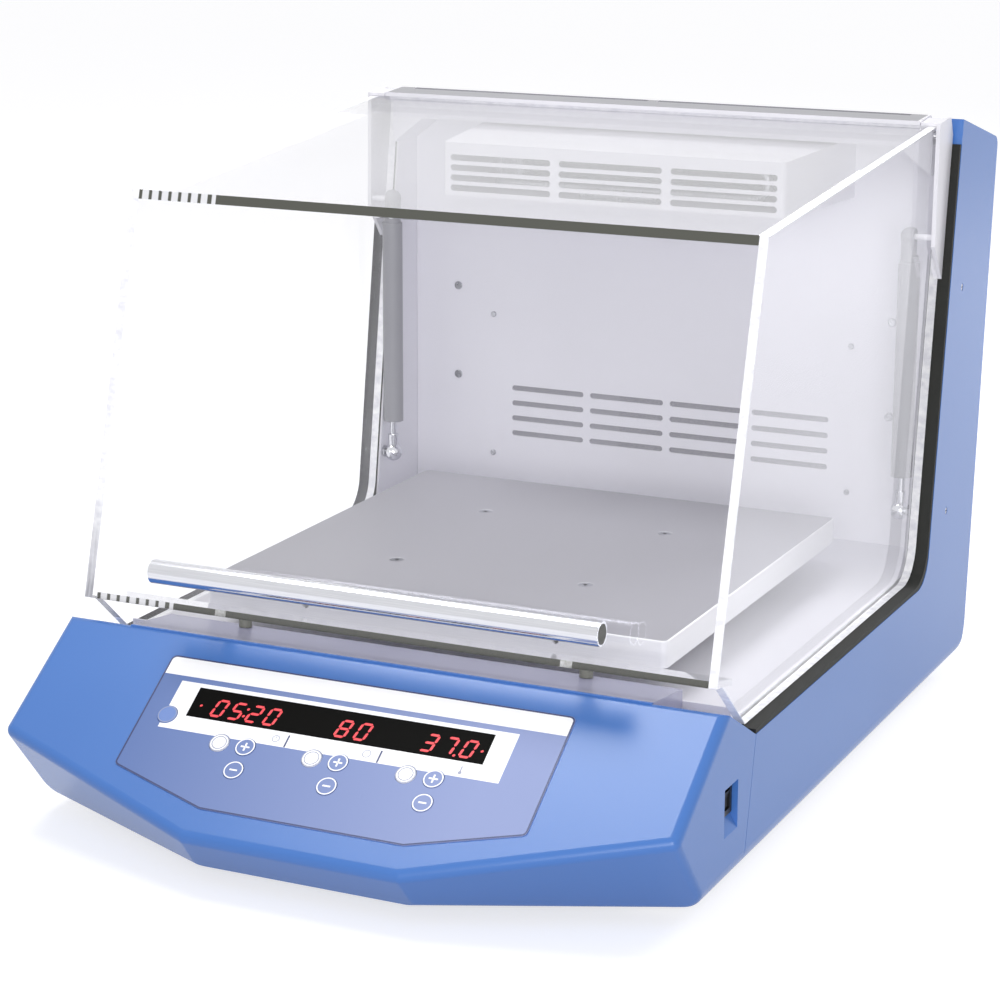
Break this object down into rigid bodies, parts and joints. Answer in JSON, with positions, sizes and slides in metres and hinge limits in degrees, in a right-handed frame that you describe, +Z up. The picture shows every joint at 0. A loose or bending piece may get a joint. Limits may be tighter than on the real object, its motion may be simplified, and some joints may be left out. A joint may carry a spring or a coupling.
{
  "type": "incubated benchtop shaker",
  "caption": "Benchtop incubator with an orbiting platform under a clear lifting hood on gas springs, a sloped key panel with a digital display, and L-shaped side casings.",
  "frame": {"origin": "middle of the footprint, on the surface that the feet stand on", "axes": "+X to the right as seen from the control panel, +Y to the rear, +Z up"},
  "size_m": [0.465, 0.695, 0.43],
  "materials": {
    "blue_enamel": "light blue stove enamel, satin",
    "white_enamel": "white powder coat, satin",
    "clear_acrylic": "clear cast acrylic, polished",
    "black_seal": "black closed-cell seal",
    "polished_tube": "polished stainless tube",
    "satin_aluminium": "satin anodised aluminium",
    "brushed_steel": "turned and brushed steel",
    "zinc_steel": "zinc plated steel sheet",
    "printed_film": "printed polyester film",
    "display_window": "smoked window with red digits",
    "key_white": "white key cap",
    "key_blue": "blue key cap",
    "black_plastic": "black moulded plastic",
    "circuit_board": "green circuit board",
    "motor_black": "black painted motor housing",
    "cast_aluminium": "machined aluminium casting",
    "foot_rubber": "black rubber",
    "belt_rubber": "black toothed belt rubber"
  },
  "bodies": {
    "root": {"air_box": "white_enamel", "ball_studs": "brushed_steel", "base_pan": "zinc_steel", "casing_screws": "brushed_steel", "chamber_back": "white_enamel", "chamber_floor": "white_enamel", "chamber_walls": "white_enamel", "control_board": "circuit_board", "control_overlay": "printed_film", "display_module": "display_window", "drive_bearings": "brushed_steel", "drive_belt": "belt_rubber", "drive_frame": "cast_aluminium", "drive_motor": "motor_black", "fan_motor": "motor_black", "feet": "foot_rubber", "front_housing": "blue_enamel", "heater_coil": "brushed_steel", "hinge_pin": "brushed_steel", "hinge_rail": "zinc_steel", "hood_gaskets": "black_seal", "mains_inlet": "black_plastic", "power_supply": "zinc_steel", "power_switch": "black_plastic", "rear_cover": "blue_enamel", "rear_spacers": "foot_rubber", "side_panel_left": "blue_enamel", "side_panel_right": "blue_enamel", "temperature_probe": "brushed_steel", "top_cover": "blue_enamel"},
    "hood": {"hood_shell": "clear_acrylic", "hood_hinge_plates": "white_enamel", "hood_handle": "polished_tube", "handle_screws": "brushed_steel", "hood_bumpers": "foot_rubber"},
    "cylinder_left": {"spring_cylinder_left": "white_enamel"},
    "cylinder_right": {"spring_cylinder_right": "white_enamel"},
    "rod_left": {"spring_rod_left": "polished_tube"},
    "rod_right": {"spring_rod_right": "polished_tube"},
    "crank": {"crank_shaft": "brushed_steel", "drive_pulley": "cast_aluminium"},
    "platform": {"platform_tray": "satin_aluminium", "platform_screws": "brushed_steel", "carrier_plate": "cast_aluminium"},
    "idler_back": {"idler_back": "brushed_steel"},
    "idler_left": {"idler_left": "brushed_steel"},
    "idler_right": {"idler_right": "brushed_steel"},
    "motor_rotor": {"motor_pulley": "cast_aluminium"},
    "fan": {"fan_drum": "black_plastic"},
    "rocker": {"switch_rocker": "black_plastic"},
    "key_hold": {"key_hold": "key_blue"},
    "key_time": {"key_time": "key_white"},
    "key_time_up": {"key_time_up": "key_white"},
    "key_time_down": {"key_time_down": "key_white"},
    "key_speed": {"key_speed": "key_white"},
    "key_speed_up": {"key_speed_up": "key_white"},
    "key_speed_down": {"key_speed_down": "key_white"},
    "key_heat": {"key_heat": "key_white"},
    "key_heat_up": {"key_heat_up": "key_white"},
    "key_heat_down": {"key_heat_down": "key_white"}
  },
  "joints": [
    {"name": "hood_hinge", "type": "hinge", "parent": "root", "child": "hood", "pos_m": [0, 0.2245, 0.4254], "axis": [-1, 0, 0], "range_deg": [0, 45]},
    {"name": "rod_tilt_left", "type": "hinge", "parent": "root", "child": "rod_left", "pos_m": [-0.207, 0.1999, 0.1445], "axis": [1, 0, 0], "range_deg": [0, 13]},
    {"name": "cylinder_tilt_left", "type": "hinge", "parent": "hood", "child": "cylinder_left", "pos_m": [-0.207, 0.2005, 0.346], "axis": [1, 0, 0], "range_deg": [0, 58]},
    {"name": "rod_tilt_right", "type": "hinge", "parent": "root", "child": "rod_right", "pos_m": [0.207, 0.1999, 0.1445], "axis": [1, 0, 0], "range_deg": [0, 13]},
    {"name": "cylinder_tilt_right", "type": "hinge", "parent": "hood", "child": "cylinder_right", "pos_m": [0.207, 0.2005, 0.346], "axis": [1, 0, 0], "range_deg": [0, 58]},
    {"name": "crank_spin", "type": "hinge", "parent": "root", "child": "crank", "pos_m": [0, 0.0105, 0.062], "axis": [0, 0, 1], "continuous": true},
    {"name": "platform_orbit", "type": "hinge", "parent": "crank", "child": "platform", "pos_m": [-0.00449, 0.01943, 0.082], "axis": [0, 0, 1], "continuous": true},
    {"name": "idler_back_spin", "type": "hinge", "parent": "root", "child": "idler_back", "pos_m": [0, 0.1285, 0.062], "axis": [0, 0, 1], "continuous": true},
    {"name": "idler_left_spin", "type": "hinge", "parent": "root", "child": "idler_left", "pos_m": [-0.10219, -0.0485, 0.062], "axis": [0, 0, 1], "continuous": true},
    {"name": "idler_right_spin", "type": "hinge", "parent": "root", "child": "idler_right", "pos_m": [0.10219, -0.0485, 0.062], "axis": [0, 0, 1], "continuous": true},
    {"name": "motor_spin", "type": "hinge", "parent": "root", "child": "motor_rotor", "pos_m": [0.12, 0.0105, 0.059], "axis": [0, 0, 1], "continuous": true},
    {"name": "fan_spin", "type": "hinge", "parent": "root", "child": "fan", "pos_m": [0, 0.2245, 0.383], "axis": [1, 0, 0], "continuous": true},
    {"name": "switch_rock", "type": "hinge", "parent": "root", "child": "rocker", "pos_m": [0.2227, -0.215, 0.0652], "axis": [0, 1, 0], "range_deg": [-16, 0]},
    {"name": "key_hold_press", "type": "slide", "parent": "root", "child": "key_hold", "axis": [0, 0.5621, -0.8271], "range_m": [0, 0.0005], "stiffness_N_per_m": 200},
    {"name": "key_time_press", "type": "slide", "parent": "root", "child": "key_time", "axis": [0, 0.5621, -0.8271], "range_m": [0, 0.0005], "stiffness_N_per_m": 200},
    {"name": "key_time_up_press", "type": "slide", "parent": "root", "child": "key_time_up", "axis": [0, 0.5621, -0.8271], "range_m": [0, 0.0005], "stiffness_N_per_m": 200},
    {"name": "key_time_down_press", "type": "slide", "parent": "root", "child": "key_time_down", "axis": [0, 0.5621, -0.8271], "range_m": [0, 0.0005], "stiffness_N_per_m": 200},
    {"name": "key_speed_press", "type": "slide", "parent": "root", "child": "key_speed", "axis": [0, 0.5621, -0.8271], "range_m": [0, 0.0005], "stiffness_N_per_m": 200},
    {"name": "key_speed_up_press", "type": "slide", "parent": "root", "child": "key_speed_up", "axis": [0, 0.5621, -0.8271], "range_m": [0, 0.0005], "stiffness_N_per_m": 200},
    {"name": "key_speed_down_press", "type": "slide", "parent": "root", "child": "key_speed_down", "axis": [0, 0.5621, -0.8271], "range_m": [0, 0.0005], "stiffness_N_per_m": 200},
    {"name": "key_heat_press", "type": "slide", "parent": "root", "child": "key_heat", "axis": [0, 0.5621, -0.8271], "range_m": [0, 0.0005], "stiffness_N_per_m": 200},
    {"name": "key_heat_up_press", "type": "slide", "parent": "root", "child": "key_heat_up", "axis": [0, 0.5621, -0.8271], "range_m": [0, 0.0005], "stiffness_N_per_m": 200},
    {"name": "key_heat_down_press", "type": "slide", "parent": "root", "child": "key_heat_down", "axis": [0, 0.5621, -0.8271], "range_m": [0, 0.0005], "stiffness_N_per_m": 200}
  ],
  "couplings": [
    {"joint": "rod_tilt_left", "follows": "hood_hinge", "ratio": 0.275},
    {"joint": "cylinder_tilt_left", "follows": "hood_hinge", "ratio": 1.275},
    {"joint": "rod_tilt_right", "follows": "hood_hinge", "ratio": 0.275},
    {"joint": "cylinder_tilt_right", "follows": "hood_hinge", "ratio": 1.275},
    {"joint": "platform_orbit", "follows": "crank_spin", "ratio": -1},
    {"joint": "idler_back_spin", "follows": "crank_spin", "ratio": 1},
    {"joint": "idler_left_spin", "follows": "crank_spin", "ratio": 1},
    {"joint": "idler_right_spin", "follows": "crank_spin", "ratio": 1},
    {"joint": "motor_spin", "follows": "crank_spin", "ratio": 3.75}
  ]
}
